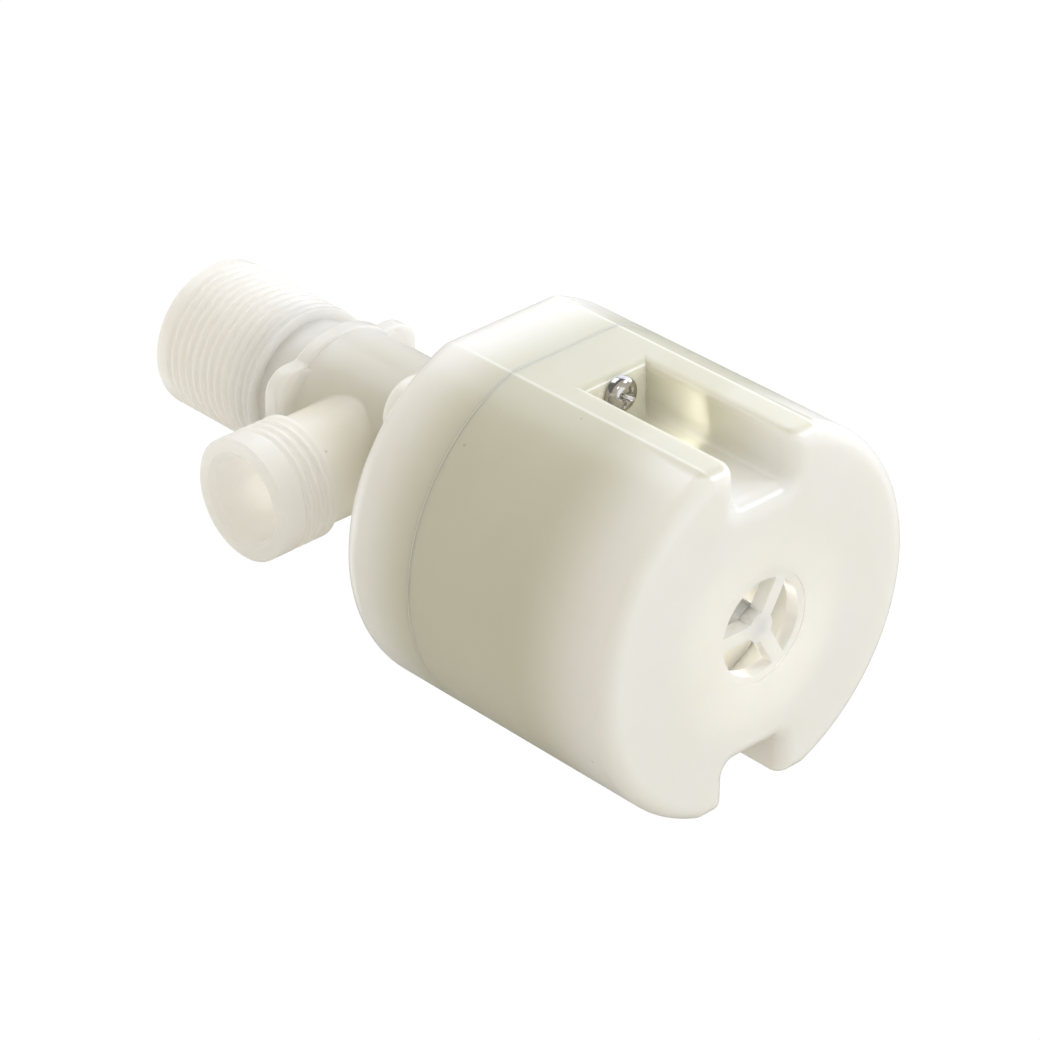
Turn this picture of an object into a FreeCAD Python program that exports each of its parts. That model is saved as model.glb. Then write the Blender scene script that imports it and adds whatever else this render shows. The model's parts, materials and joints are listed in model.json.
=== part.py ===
"""Float valve: a pilot-operated water-level valve with a sliding ring float.

The valve hangs from its inlet thread. +Z points up along the inlet, the origin is the centre of the
inlet's end face, and the outlet points to -Y. Heights below are measured up from the float's underside,
and z_of turns a height into the part's own Z. All sizes are in millimetres.
"""
import FreeCAD, Part
import math
import os

Vector = FreeCAD.Vector

# ---- overall -------------------------------------------------------------------------------------
TOTAL = 127.5          # float's underside to the inlet's end face
PITCH = 1.814          # 14 threads to the inch, on both ports
TRAVEL = 5.0           # how far the float rises before the pilot nozzle is shut
CLEAR = 0.3            # running clearance between the float and the fixed body

# ---- float ---------------------------------------------------------------------------------------
FLOAT_R = 32.7
FLAT_X = 30.7          # the two flats, at +X and -X
WALL = 2.2
FLOOR = 2.6            # thickness of the underside
SHELL_TOP = 43.3       # parting plane between shell and cap
CAP_TOP = 59.5
CAP_ROUND = 4.2
UNDERSIDE_ROUND = 3.0
FLAT_EDGE_ROUND = 0.6  # where a flat meets the round side
PARTING_ROUND = 0.1
WELL_R = 17.4          # central well that slides over the fixed body
WELL_WALL = 1.8
CAP_HOLE_R = 16.3

SLOT_HALF = 6.1        # half width of the screw slot in each flat
SLOT_FLOOR_X = 22.7
SLOT_END = 31.5
SLOT_END_ROUND = 2.0   # where the end wall turns out to the flat
SLOT_RIM_ROUND = 1.5
SLOT_CORNER = 1.8

SCREW_X = 27.6
BOSS_R = 3.0
EYELET_R = 2.4         # of the outer gasket, round each screw
SCREW_R = 1.5
SCREW_HEAD_R = 3.0
SCREW_HEAD_T = 2.3
SCREW_TIP = 54.0
SCREW_POINT = 2.0
SCREW_POINT_R = 0.3
SCREW_ROUND = 1.5
SCREW_HOLE_GAP = 0.2   # in the shell
EYELET_GAP = 0.05      # in the outer gasket
CROSS_HALF = 1.7
CROSS_W = 0.8
CROSS_DEPTH = 1.3

STAR_R = 8.2
HUB_R = 2.5
SPOKE_W = 2.4
SPOKE_ANGLES = (30.0, 150.0, 270.0)
RECESS_R = 9.6
RECESS_DEPTH = 0.15
HUB_SOCKET_R = 1.2     # blind hole in the hub that takes the pad holder's peg
HUB_SOCKET_LOW = 1.0
HOLDER_R = 2.6
HOLDER_TOP = 5.2
PILOT_PAD_R = 1.95
PILOT_PAD_LOW = 3.6
PAD_INDENT = 0.05      # how far the closed nozzle sinks short of the pad's free height

GASKET_W = 1.0
GASKET_T = 0.8
LIP_T = 1.4
LIP_DEPTH = 3.0
LIP_GAP = 0.1
LIP_REACH = 1.5        # how far the lips' roots run up into the cap
BRIDGE_HALF = 0.5      # half thickness of the band that joins each lip to its wall
BOSS_GAP = 0.2
CAVITY_ROUND = 3.0

RIB_W = 2.4
RIB_R = 16.0
RIB_TOP = 33.0

PLUG_X = 17.3
PLUG_Y = -14.0
PLUG_HEAD_R = 5.8
PLUG_HEAD_TOP = 63.8
PLUG_SHANK_R = 3.5
PLUG_LOW = 54.0
PLUG_ROUND = 1.2
PLUG_WALL = 1.2

# ---- valve body ----------------------------------------------------------------------------------
INLET_R = 13.2
INLET_LOW = 103.4
INLET_GROOVES = 12
THREAD_DEPTH = 1.0
MOUTH_R = 10.0
MOUTH_FLOOR = 107.0
BORE_R = 6.5
RELIEF_R = 11.3
FLANGE_LOW = 94.0
FLANGE_TOP = 97.0
FLANGE_R = 13.5
EAR_REACH = 15.3
EAR_HALF = 10.3
EAR_ROUND = 4.5
EAR_EDGE_ROUND = 0.5
EAR_ROOT_ROUND = 1.5   # between the ears and the neck
EAR_BLEND = 1.2        # between the ears and the flange's round edge
TEE_ROUND = 1.0        # between the neck and the side tube
NECK_R = 13.0
COLLAR_R = 16.0
COLLAR_TOP = 67.0
COLLAR_LOW = 58.0
SKIRT_R = 15.2
SKIRT_LOW = 46.0
SKIRT_GROOVES = 5
SEAT_H = 66.0
SEAT_R = 8.2
CHAMBER_R = 11.2
CHAMBER_TOP = 91.0
CYLINDER_R = 12.6
SKIRT_THREAD_DEPTH = 0.6
PORT_CHAMFER = 0.4
SKIRT_CHAMFER = 0.5
OUTLET_FLARE = 1.0     # chamfer inside the outlet's end

OUTLET_H = 81.9
OUTLET_END = 33.2
OUTLET_THREAD_START = 22.0
OUTLET_GROOVES = 4
OUTLET_R = 10.48
OUTLET_TUBE_R = 9.36
OUTLET_BORE_R = 7.2

STRAINER_RIM_R = 9.8
STRAINER_R = 5.8
STRAINER_BORE_R = 5.0
STRAINER_T = 1.2
STRAINER_LOW = 92.0
STRAINER_WINDOWS = 8
WINDOW_W = 2.6
WINDOW_LOW = 94.5
WINDOW_TOP = 106.0
MESH_R = 4.95
MESH_T = 0.25

# ---- pilot housing, clamp nut and nozzle ---------------------------------------------------------
SPIGOT_TOP = 51.0
ORING_LOW = 47.8
ORING_GROOVE = 1.6
ORING_FLOOR_R = 11.2
HOUSING_LOW = 42.0
HOUSING_FLOOR = 41.0
HOUSING_CUP_R = 10.5
CUP_BOTTOM = 38.0
STEM_R = 3.6
STEM_BORE_R = 1.2
FIN_T = 1.6
FIN_R = 13.0
GUIDE_LOW = 12.0
GUIDE_TOP = 15.0
GUIDE_R = WELL_R - CLEAR
NUT_LOW = 40.0
NUT_TOP = CAP_TOP - WALL
NUT_R = WELL_R - CLEAR
NUT_LIP_R = 13.4
NOZZLE_R = 2.2
NOZZLE_TOP = 20.0
NOZZLE_TIP_R = 1.1
ORIFICE_R = 0.45
NOZZLE_TIP = 10.7
NOZZLE_SHOULDER_R = 3.0
NOZZLE_SHOULDER_T = 0.6
NOZZLE_CONE_R = 1.6
NOZZLE_NECK_R = 1.5    # floor of the groove for the nozzle's O-ring
NOZZLE_NECK_LOW = 15.0
NOZZLE_NECK_TOP = 16.4
NOZZLE_RING_R = 1.85
NOZZLE_RING_WIRE_R = 0.34
SPIGOT_GAP = 0.05
CUP_GAP = 0.4
GUIDE_HOLE_R = 3.6
GUIDE_HOLE_X = 9.8
GUIDE_NOTCH_R = 15.6
FIN_OVERLAP = 0.5
NUT_THREAD_GAP = 0.02
NUT_NOTCH_W = 3.0
NUT_NOTCH_R = 14.5
NUT_NOTCH_DEPTH = 1.2

# ---- piston, all hung from the height of the seat it closes --------------------------------------
PISTON_R = 12.2
PAD_T = 2.0
PISTON_TOP = SEAT_H - PAD_T
CROWN_T = 3.0
CROWN_LOW = PISTON_TOP - CROWN_T
PISTON_HUB_R = 10.6
PISTON_HUB_BORE_R = 8.6
PISTON_HUB_H = 5.0
PISTON_LOW = CROWN_LOW - PISTON_HUB_H
SEAL_R = 12.55
SEAL_H = 3.0
SEAL_LOW = CROWN_LOW - SEAL_H
SEAL_LIP_T = 0.5
SEAL_VEE = 1.8         # depth of the U-cup's hollow
SEAL_RETAINER_R = 12.0
SEAL_RETAINER_T = 1.0
PAD_R = 9.2
PAD_RIM_R = 10.4
PAD_RIM_H = 1.2
RETAINER_R = 5.0
RETAINER_T = 1.0
PAD_SCREW_R = 1.5
PAD_SCREW_HEAD_R = 3.0
PAD_SCREW_HEAD_T = 1.6
PAD_SCREW_LOW = CROWN_LOW - 4.0
SLOT_W = 0.8           # screwdriver slot in the pad screw
SLOT_DEPTH = 0.7
BLEED_R = 0.5
PAD_NUT_H = 2.4
PAD_NUT_R = 2.9
SPRING_R = 6.6
SPRING_WIRE_R = 0.45
SPRING_TURNS = 7

# ---- thread form, as fractions of the pitch, and sizes of cutting tools -------------------------
LAND = 0.2
ROOT_START = 0.5
ROOT_END = 0.7
WIDE = 50.0            # reaches past the whole part
HIGH = 140.0


def z_of(height):
    return height - TOTAL


# ---- building blocks -----------------------------------------------------------------------------
def disc(radius, low, high, x=0.0, y=0.0):
    return Part.makeCylinder(radius, high - low, Vector(x, y, z_of(low)))


def tube(outer, inner, low, high, x=0.0, y=0.0):
    return disc(outer, low, high, x, y).cut(disc(inner, low - 1, high + 1, x, y))


def block(x0, x1, y0, y1, low, high):
    return Part.makeBox(x1 - x0, y1 - y0, high - low, Vector(x0, y0, z_of(low)))


def turned(points):
    """A solid turned about Z from (radius, height) points."""
    corners = [Vector(radius, 0, z_of(height)) for radius, height in points]
    outline = Part.makePolygon(corners + corners[:1])
    return Part.Face(outline).revolve(Vector(0, 0, 0), Vector(0, 0, 1), 360)


def ring(mean_radius, thickness_radius, height):
    return Part.makeTorus(mean_radius, thickness_radius, Vector(0, 0, z_of(height)))


def thread_profile(crest, root, low, grooves):
    """Points up the side of a thread: grooves at the pitch, each with flanks and a narrow root."""
    points = []
    for turn in range(grooves):
        base = low + turn * PITCH
        points.append((crest, base + LAND * PITCH))
        points.append((root, base + ROOT_START * PITCH))
        points.append((root, base + ROOT_END * PITCH))
        points.append((crest, base + PITCH))
    return points


def threaded_rod(crest, root, low, high, grooves, chamfer):
    sides = [(0, low), (crest, low)] + thread_profile(crest, root, low, grooves)
    return turned(sides + [(crest, high - chamfer), (crest - chamfer, high), (0, high)])


def along_outlet(solid):
    """Lays a solid that stands on the float's underside along the outlet, pointing to -Y."""
    placed = solid.copy()
    placed.translate(Vector(0, 0, -z_of(0)))
    placed.rotate(Vector(0, 0, 0), Vector(1, 0, 0), 90)
    placed.translate(Vector(0, 0, z_of(OUTLET_H)))
    return placed


def edges_where(solid, test):
    return [edge for edge in solid.Edges if test(edge.BoundBox)]


def both_sides(shape):
    """The shape at +X, and its twin turned half round to -X."""
    twin = shape.copy()
    twin.rotate(Vector(0, 0, 0), Vector(0, 0, 1), 180)
    return [shape, twin]


# ---- float ---------------------------------------------------------------------------------------
def float_section(inset, low, high):
    """The float's round outline with its two flats, shrunk by inset."""
    half = FLAT_X - inset
    return disc(FLOAT_R - inset, low, high).common(block(-half, half, -WIDE, WIDE, low, high))


def float_block(low, high):
    """A full length of the float, with the edges of its flats rounded."""
    solid = float_section(0, low, high)
    upright = edges_where(solid, lambda b: b.XLength < 0.01 and b.YLength < 0.01)
    flats = [edge for edge in upright if abs(abs(edge.BoundBox.XMin) - FLAT_X) < 0.01]
    return solid.makeFillet(FLAT_EDGE_ROUND, flats)


def slot_cutter():
    """What one slot takes away. Its end wall turns out to the flat with a large round."""
    bend = FLAT_X - SLOT_END_ROUND
    end = z_of(SLOT_END)
    low = z_of(-5)
    middle = SLOT_END_ROUND * (1 - math.sqrt(0.5))
    turn = Part.Arc(
        Vector(bend, 0, end), Vector(FLAT_X - middle, 0, end + middle),
        Vector(FLAT_X, 0, end + SLOT_END_ROUND),
    )
    corners = [
        Vector(FLAT_X, 0, end + SLOT_END_ROUND), Vector(FLAT_X + 5, 0, end + SLOT_END_ROUND),
        Vector(FLAT_X + 5, 0, low), Vector(SLOT_FLOOR_X, 0, low), Vector(SLOT_FLOOR_X, 0, end),
        Vector(bend, 0, end),
    ]
    sides = [Part.LineSegment(a, b).toShape() for a, b in zip(corners, corners[1:])]
    outline = Part.Wire([turn.toShape()] + sides)
    cutter = Part.Face(outline).extrude(Vector(0, 2 * SLOT_HALF, 0))
    cutter.translate(Vector(0, -SLOT_HALF, 0))
    floor = edges_where(cutter, lambda b: b.XMax < SLOT_FLOOR_X + 0.01 and b.ZMax > low + 1)
    return cutter.makeFillet(SLOT_CORNER, floor)


def shell_outside():
    """The outside of the shell: both slots cut, with every edge that a hand meets rounded."""
    outer = float_block(0, SHELL_TOP)
    for cutter in both_sides(slot_cutter()):
        outer = outer.cut(cutter)
    rim = edges_where(
        outer,
        lambda b: b.XLength < 0.01 and b.YLength < 0.01 and abs(abs(b.XMin) - FLAT_X) < 0.01
        and abs(b.YMin) < SLOT_HALF + 0.1,
    )
    outer = outer.makeFillet(SLOT_RIM_ROUND, rim)
    underside = edges_where(outer, lambda b: b.ZMax < z_of(0) + 0.01)
    outer = outer.makeFillet(UNDERSIDE_ROUND, underside)
    parting = edges_where(outer, lambda b: b.ZMin > z_of(SHELL_TOP) - 0.01)
    return outer.makeFillet(PARTING_ROUND, parting)


def float_shell():
    cavity = float_section(WALL, FLOOR, SHELL_TOP + 1)
    cavity = cavity.cut(disc(WELL_R + WELL_WALL, 0, SHELL_TOP + 2))
    half = SLOT_HALF + WALL
    slot_box = block(SLOT_FLOOR_X - WALL, WIDE, -half, half, 0, SLOT_END + WALL)
    for piece in (slot_box, screw_boss(0)):
        for copy in both_sides(piece):
            cavity = cavity.cut(copy)

    shell = shell_outside().cut(cavity).cut(disc(WELL_R, FLOOR, SHELL_TOP + 1))
    for hole in both_sides(disc(SCREW_R + SCREW_HOLE_GAP, SLOT_END - 5, SHELL_TOP + 1, SCREW_X)):
        shell = shell.cut(hole)
    shell = shell.cut(disc(RECESS_R, -1, RECESS_DEPTH)).cut(star_hole())
    shell = shell.cut(disc(HUB_SOCKET_R, HUB_SOCKET_LOW, FLOOR + 1))
    rib = block(-RIB_W / 2, RIB_W / 2, RIB_R, WELL_R + WELL_WALL / 2, FLOOR - WALL / 4, RIB_TOP)
    shell = shell.fuse(both_sides(rib))
    return shell.cut(outer_gasket_seat()).cut(inner_gasket()).removeSplitter()


def star_hole():
    """The three openings between the spokes in the middle of the underside."""
    star = disc(STAR_R, -1, FLOOR + 1).cut(disc(HUB_R, -2, FLOOR + 2))
    for angle in SPOKE_ANGLES:
        spoke = block(0, WIDE, -SPOKE_W / 2, SPOKE_W / 2, -2, FLOOR + 2)
        spoke.rotate(Vector(0, 0, 0), Vector(0, 0, 1), angle)
        star = star.cut(spoke)
    return star


def outer_gasket_seat():
    """The step inside the shell's rim that holds the outer gasket, with an eyelet round each screw."""
    low = SHELL_TOP - GASKET_T
    band = float_section(WALL - GASKET_W, low, SHELL_TOP)
    band = band.cut(float_section(WALL, low - 1, SHELL_TOP + 1))
    return band.fuse(both_sides(disc(EYELET_R, low, SHELL_TOP, SCREW_X))).removeSplitter()


def outer_gasket():
    gasket = outer_gasket_seat()
    for hole in both_sides(disc(SCREW_R + EYELET_GAP, 0, HIGH, SCREW_X)):
        gasket = gasket.cut(hole)
    return gasket


def inner_gasket():
    outer = WELL_R + WELL_WALL
    return tube(outer, outer - GASKET_W, SHELL_TOP - GASKET_T, SHELL_TOP)


def screw_boss(gap):
    """The column round a screw, joined to the flat beside it, grown by gap."""
    half = BOSS_R + gap
    return disc(half, 0, HIGH, SCREW_X).fuse(block(SCREW_X, WIDE, -half, half, 0, HIGH))


def float_cap():
    outer = float_block(SHELL_TOP, CAP_TOP)
    back = edges_where(outer, lambda b: b.ZMin > z_of(CAP_TOP) - 0.01)
    outer = outer.makeFillet(CAP_ROUND, back)
    parting = edges_where(outer, lambda b: b.ZMax < z_of(SHELL_TOP) + 0.01)
    outer = outer.makeFillet(PARTING_ROUND, parting)
    ceiling = CAP_TOP - WALL
    cavity = float_section(WALL, SHELL_TOP - 1, ceiling)
    inside = edges_where(cavity, lambda b: b.ZMin > z_of(ceiling) - 0.01)
    cavity = cavity.makeFillet(CAVITY_ROUND, inside)
    cavity = cavity.cut(disc(WELL_R + WELL_WALL, 0, HIGH))
    for boss in both_sides(screw_boss(0)):
        cavity = cavity.cut(boss)
    cap = outer.cut(cavity).cut(disc(WELL_R, 0, ceiling)).cut(disc(CAP_HOLE_R, 0, HIGH))

    lip_low = SHELL_TOP - LIP_DEPTH
    lip_top = SHELL_TOP + LIP_REACH
    outer_lip = float_section(WALL + LIP_GAP, lip_low, lip_top)
    outer_lip = outer_lip.cut(float_section(WALL + LIP_GAP + LIP_T, 0, HIGH))
    inner_r = WELL_R + WELL_WALL + LIP_GAP
    inner_lip = tube(inner_r + LIP_T, inner_r, lip_low, lip_top)
    for boss in both_sides(screw_boss(BOSS_GAP)):
        outer_lip = outer_lip.cut(boss)
    bridge_low = SHELL_TOP + BRIDGE_HALF
    outer_bridge = float_section(WALL - BRIDGE_HALF, bridge_low, lip_top)
    outer_bridge = outer_bridge.cut(float_section(WALL + BRIDGE_HALF, 0, HIGH))
    inner_bridge = tube(inner_r + BRIDGE_HALF, inner_r - BRIDGE_HALF, bridge_low, lip_top)
    cap = cap.fuse([outer_lip, inner_lip, outer_bridge, inner_bridge])
    for hole in both_sides(disc(SCREW_R, SHELL_TOP - 1, SCREW_TIP + 0.5, SCREW_X)):
        cap = cap.cut(hole)
    return cap.cut(disc(PLUG_SHANK_R, 0, HIGH, PLUG_X, PLUG_Y)).removeSplitter()


def float_plug():
    """The round plug pressed into the back of the cap, which closes the float's air chamber."""
    head = disc(PLUG_HEAD_R, CAP_TOP, PLUG_HEAD_TOP, PLUG_X, PLUG_Y)
    back = edges_where(head, lambda b: b.ZMin > z_of(PLUG_HEAD_TOP) - 0.01)
    head = head.makeFillet(PLUG_ROUND, back)
    shank = disc(PLUG_SHANK_R, PLUG_LOW, CAP_TOP, PLUG_X, PLUG_Y)
    hollow = disc(PLUG_SHANK_R - PLUG_WALL, 0, CAP_TOP - PLUG_WALL, PLUG_X, PLUG_Y)
    return head.fuse(shank).cut(hollow).removeSplitter()


def float_screw():
    """A pan-head self-tapping screw with a cross recess, head down in the slot."""
    head_low = SLOT_END - SCREW_HEAD_T
    head = disc(SCREW_HEAD_R, head_low, SLOT_END, SCREW_X)
    crown = edges_where(head, lambda b: b.ZMax < z_of(head_low) + 0.01)
    head = head.makeFillet(SCREW_ROUND, crown)
    long, narrow, floor = CROSS_HALF, CROSS_W / 2, head_low + CROSS_DEPTH
    recess = block(SCREW_X - long, SCREW_X + long, -narrow, narrow, 0, floor)
    across = block(SCREW_X - narrow, SCREW_X + narrow, -long, long, 0, floor)
    taper = SCREW_TIP - SCREW_POINT
    shank = disc(SCREW_R, SLOT_END, taper, SCREW_X)
    tip = Part.makeCone(SCREW_R, SCREW_POINT_R, SCREW_POINT, Vector(SCREW_X, 0, z_of(taper)))
    return head.cut(recess).cut(across).fuse([shank, tip]).removeSplitter()


def float_screws():
    return Part.makeCompound(both_sides(float_screw()))


def pad_holder():
    """The cup on the hub that holds the pilot pad, with a peg down into the hub."""
    cup = disc(HOLDER_R, FLOOR, HOLDER_TOP).cut(disc(PILOT_PAD_R, PILOT_PAD_LOW, HOLDER_TOP + 1))
    return cup.fuse(disc(HUB_SOCKET_R, HUB_SOCKET_LOW, FLOOR))


def pilot_pad():
    return disc(PILOT_PAD_R, PILOT_PAD_LOW, NOZZLE_TIP - TRAVEL - PAD_INDENT)


# ---- valve body ----------------------------------------------------------------------------------
def ear_outline(inset, low, high):
    """The flange's two ears seen from above, shrunk by inset."""
    half = EAR_HALF - inset
    reach = EAR_REACH - inset
    plate = block(-half, half, -reach, reach, low, high)
    return plate.makeFillet(EAR_ROUND - inset, edges_where(plate, lambda b: b.ZLength > 1))


def flange_plate():
    plate = ear_outline(0, FLANGE_LOW, FLANGE_TOP).fuse(disc(FLANGE_R, FLANGE_LOW, FLANGE_TOP))
    plate = plate.removeSplitter()
    meeting = edges_where(plate, lambda b: b.ZLength > 1 and abs(abs(b.XMin) - EAR_HALF) < 0.01)
    plate = plate.makeFillet(EAR_BLEND, meeting)
    return plate.makeFillet(EAR_EDGE_ROUND, edges_where(plate, lambda b: b.ZLength < 0.01))


def ear_roots():
    """The cove between the underside of the ears and the neck."""
    low = FLANGE_LOW - EAR_ROOT_ROUND
    cove = tube(NECK_R + EAR_ROOT_ROUND, NECK_R - 1, low, FLANGE_LOW + 1)
    cove = cove.cut(ring(NECK_R + EAR_ROOT_ROUND, EAR_ROOT_ROUND, low))
    return cove.common(ear_outline(EAR_EDGE_ROUND, low, FLANGE_LOW + 1))


def outlet_port():
    root = OUTLET_R - THREAD_DEPTH
    port = threaded_rod(
        OUTLET_R, root, OUTLET_THREAD_START, OUTLET_END, OUTLET_GROOVES, PORT_CHAMFER)
    return along_outlet(port.fuse(disc(OUTLET_TUBE_R, 0, OUTLET_THREAD_START + 1)))


def valve_body():
    neck = disc(NECK_R, COLLAR_LOW, FLANGE_TOP)
    port = along_outlet(disc(OUTLET_TUBE_R, 0, OUTLET_THREAD_START + 1))
    tee = neck.fuse(port)
    joint = edges_where(tee, lambda b: b.YMax < -5 and b.YMin > -15 and b.XLength > 10)
    tee = tee.makeFillet(TEE_ROUND, joint)
    slope = COLLAR_R - NECK_R
    collar = turned([
        (0, COLLAR_LOW), (COLLAR_R, COLLAR_LOW), (COLLAR_R, COLLAR_TOP), (NECK_R, COLLAR_TOP + slope),
        (0, COLLAR_TOP + slope),
    ])
    inlet = threaded_rod(
        INLET_R, INLET_R - THREAD_DEPTH, INLET_LOW, TOTAL, INLET_GROOVES, PORT_CHAMFER)
    skirt = threaded_rod(
        SKIRT_R, SKIRT_R - SKIRT_THREAD_DEPTH, SKIRT_LOW, COLLAR_LOW, SKIRT_GROOVES, SKIRT_CHAMFER)
    relief = disc(RELIEF_R, FLANGE_TOP, INLET_LOW)
    body = tee.fuse([outlet_port(), collar, flange_plate(), ear_roots(), relief, inlet, skirt])

    water = disc(MOUTH_R, MOUTH_FLOOR, TOTAL + 1)
    water = water.fuse(disc(CHAMBER_R, SEAT_H - 1, CHAMBER_TOP))
    water = water.fuse(disc(CYLINDER_R, 0, SEAT_H))
    flare = Part.makeCone(
        OUTLET_BORE_R, OUTLET_BORE_R + OUTLET_FLARE, OUTLET_FLARE,
        Vector(0, 0, z_of(OUTLET_END - OUTLET_FLARE)))
    bore = disc(OUTLET_BORE_R, 0, OUTLET_END + 1).fuse(flare)
    water = water.fuse(along_outlet(bore))
    inner_tube = disc(SEAT_R, SEAT_H, CHAMBER_TOP + 1)
    body = body.cut(water).fuse(inner_tube).cut(disc(BORE_R, SEAT_H - 1, MOUTH_FLOOR + 1))
    return body.removeSplitter()


def strainer_frame():
    """A thimble that drops into the inlet bore, with tall windows round its wall."""
    top = MOUTH_FLOOR + STRAINER_T
    flange = tube(STRAINER_RIM_R, STRAINER_BORE_R, MOUTH_FLOOR, top)
    wall = tube(STRAINER_R, STRAINER_BORE_R, STRAINER_LOW, top)
    frame = flange.fuse([wall, disc(STRAINER_R, STRAINER_LOW, STRAINER_LOW + STRAINER_T)])
    half = WINDOW_W / 2
    for turn in range(STRAINER_WINDOWS):
        window = block(STRAINER_BORE_R / 2, STRAINER_R + 1, -half, half, WINDOW_LOW, WINDOW_TOP)
        window.rotate(Vector(0, 0, 0), Vector(0, 0, 1), 360 * turn / STRAINER_WINDOWS)
        frame = frame.cut(window)
    return frame.removeSplitter()


def strainer_mesh():
    low = STRAINER_LOW + STRAINER_T + 0.1
    return tube(MESH_R, MESH_R - MESH_T, low, MOUTH_FLOOR + STRAINER_T)


# ---- pilot housing, clamp nut and nozzle ---------------------------------------------------------
def pilot_housing():
    """The cup that shuts the cylinder, with the finned stem and guide plate below it."""
    spigot = tube(CYLINDER_R - SPIGOT_GAP, HOUSING_CUP_R, HOUSING_FLOOR, SPIGOT_TOP)
    spigot = spigot.cut(tube(WIDE, ORING_FLOOR_R, ORING_LOW, ORING_LOW + ORING_GROOVE))
    flange = tube(SKIRT_R, HOUSING_CUP_R, HOUSING_LOW, SKIRT_LOW)
    cup = disc(NUT_LIP_R - CUP_GAP, CUP_BOTTOM, HOUSING_LOW)
    cup = cup.cut(disc(HOUSING_CUP_R, HOUSING_FLOOR, HIGH))
    stem = disc(STEM_R, GUIDE_LOW, CUP_BOTTOM)
    guide = disc(GUIDE_R, GUIDE_LOW, GUIDE_TOP)
    for angle in range(45, 360, 90):
        hole = disc(GUIDE_HOLE_R, 0, CUP_BOTTOM, GUIDE_HOLE_X)
        hole.rotate(Vector(0, 0, 0), Vector(0, 0, 1), angle)
        guide = guide.cut(hole)
    half = RIB_W / 2 + CLEAR
    for notch in both_sides(block(-half, half, GUIDE_NOTCH_R, WIDE, 0, CUP_BOTTOM)):
        guide = guide.cut(notch)
    housing = spigot.fuse([flange, cup, stem, guide])
    for angle in (0, 90):
        fin = block(
            -FIN_R, FIN_R, -FIN_T / 2, FIN_T / 2, GUIDE_TOP - FIN_OVERLAP, CUP_BOTTOM + FIN_OVERLAP)
        fin.rotate(Vector(0, 0, 0), Vector(0, 0, 1), angle)
        housing = housing.fuse(fin)
    housing = housing.cut(disc(STEM_BORE_R, 0, HIGH)).cut(disc(NOZZLE_R, 0, NOZZLE_TOP))
    return housing.removeSplitter()


def housing_oring():
    half = (CYLINDER_R - ORING_FLOOR_R) / 2
    return ring(ORING_FLOOR_R + half, half, ORING_LOW + ORING_GROOVE / 2)


def clamp_nut():
    nut = tube(NUT_R, SKIRT_R + NUT_THREAD_GAP, HOUSING_LOW, NUT_TOP)
    nut = nut.fuse(tube(NUT_R, NUT_LIP_R, NUT_LOW, HOUSING_LOW))
    half = NUT_NOTCH_W / 2
    for angle in range(45, 360, 90):
        notch = block(NUT_NOTCH_R, WIDE, -half, half, 0, NUT_LOW + NUT_NOTCH_DEPTH)
        notch.rotate(Vector(0, 0, 0), Vector(0, 0, 1), angle)
        nut = nut.cut(notch)
    return nut.removeSplitter()


def pilot_nozzle():
    shoulder = GUIDE_LOW - NOZZLE_SHOULDER_T
    return turned([
        (ORIFICE_R, NOZZLE_TIP), (NOZZLE_TIP_R, NOZZLE_TIP), (NOZZLE_CONE_R, shoulder),
        (NOZZLE_SHOULDER_R, shoulder), (NOZZLE_SHOULDER_R, GUIDE_LOW), (NOZZLE_R, GUIDE_LOW),
        (NOZZLE_R, NOZZLE_NECK_LOW), (NOZZLE_NECK_R, NOZZLE_NECK_LOW), (NOZZLE_NECK_R, NOZZLE_NECK_TOP),
        (NOZZLE_R, NOZZLE_NECK_TOP), (NOZZLE_R, NOZZLE_TOP), (ORIFICE_R, NOZZLE_TOP),
    ])


def nozzle_oring():
    return ring(NOZZLE_RING_R, NOZZLE_RING_WIRE_R, (NOZZLE_NECK_LOW + NOZZLE_NECK_TOP) / 2)


# ---- piston --------------------------------------------------------------------------------------
def main_piston():
    crown = disc(PISTON_R, CROWN_LOW, PISTON_TOP)
    rim = tube(PAD_RIM_R, PAD_R, PISTON_TOP, PISTON_TOP + PAD_RIM_H)
    hub = tube(PISTON_HUB_R, PISTON_HUB_BORE_R, PISTON_LOW, CROWN_LOW)
    return crown.fuse([rim, hub]).cut(disc(PAD_SCREW_R, 0, HIGH)).removeSplitter()


def piston_seal():
    """A U-cup: its two lips point down into the control chamber."""
    inner = PISTON_HUB_R
    middle = (inner + SEAL_R) / 2
    return turned([
        (inner, CROWN_LOW), (SEAL_R, CROWN_LOW), (SEAL_R, SEAL_LOW), (SEAL_R - SEAL_LIP_T, SEAL_LOW),
        (middle, SEAL_LOW + SEAL_VEE), (inner + SEAL_LIP_T, SEAL_LOW), (inner, SEAL_LOW),
    ])


def seal_retainer():
    return tube(SEAL_RETAINER_R, PISTON_HUB_R, SEAL_LOW - SEAL_RETAINER_T, SEAL_LOW)


def seat_pad():
    return disc(PAD_R, PISTON_TOP, SEAT_H).cut(disc(PAD_SCREW_R, 0, HIGH))


def pad_retainer():
    return tube(RETAINER_R, PAD_SCREW_R, SEAT_H, SEAT_H + RETAINER_T)


def pad_screw():
    low = SEAT_H + RETAINER_T
    top = low + PAD_SCREW_HEAD_T
    head = disc(PAD_SCREW_HEAD_R, low, top)
    head = head.cut(block(-WIDE, WIDE, -SLOT_W / 2, SLOT_W / 2, top - SLOT_DEPTH, HIGH))
    screw = head.fuse(disc(PAD_SCREW_R, PAD_SCREW_LOW, low))
    return screw.cut(disc(BLEED_R, 0, HIGH)).removeSplitter()


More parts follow.
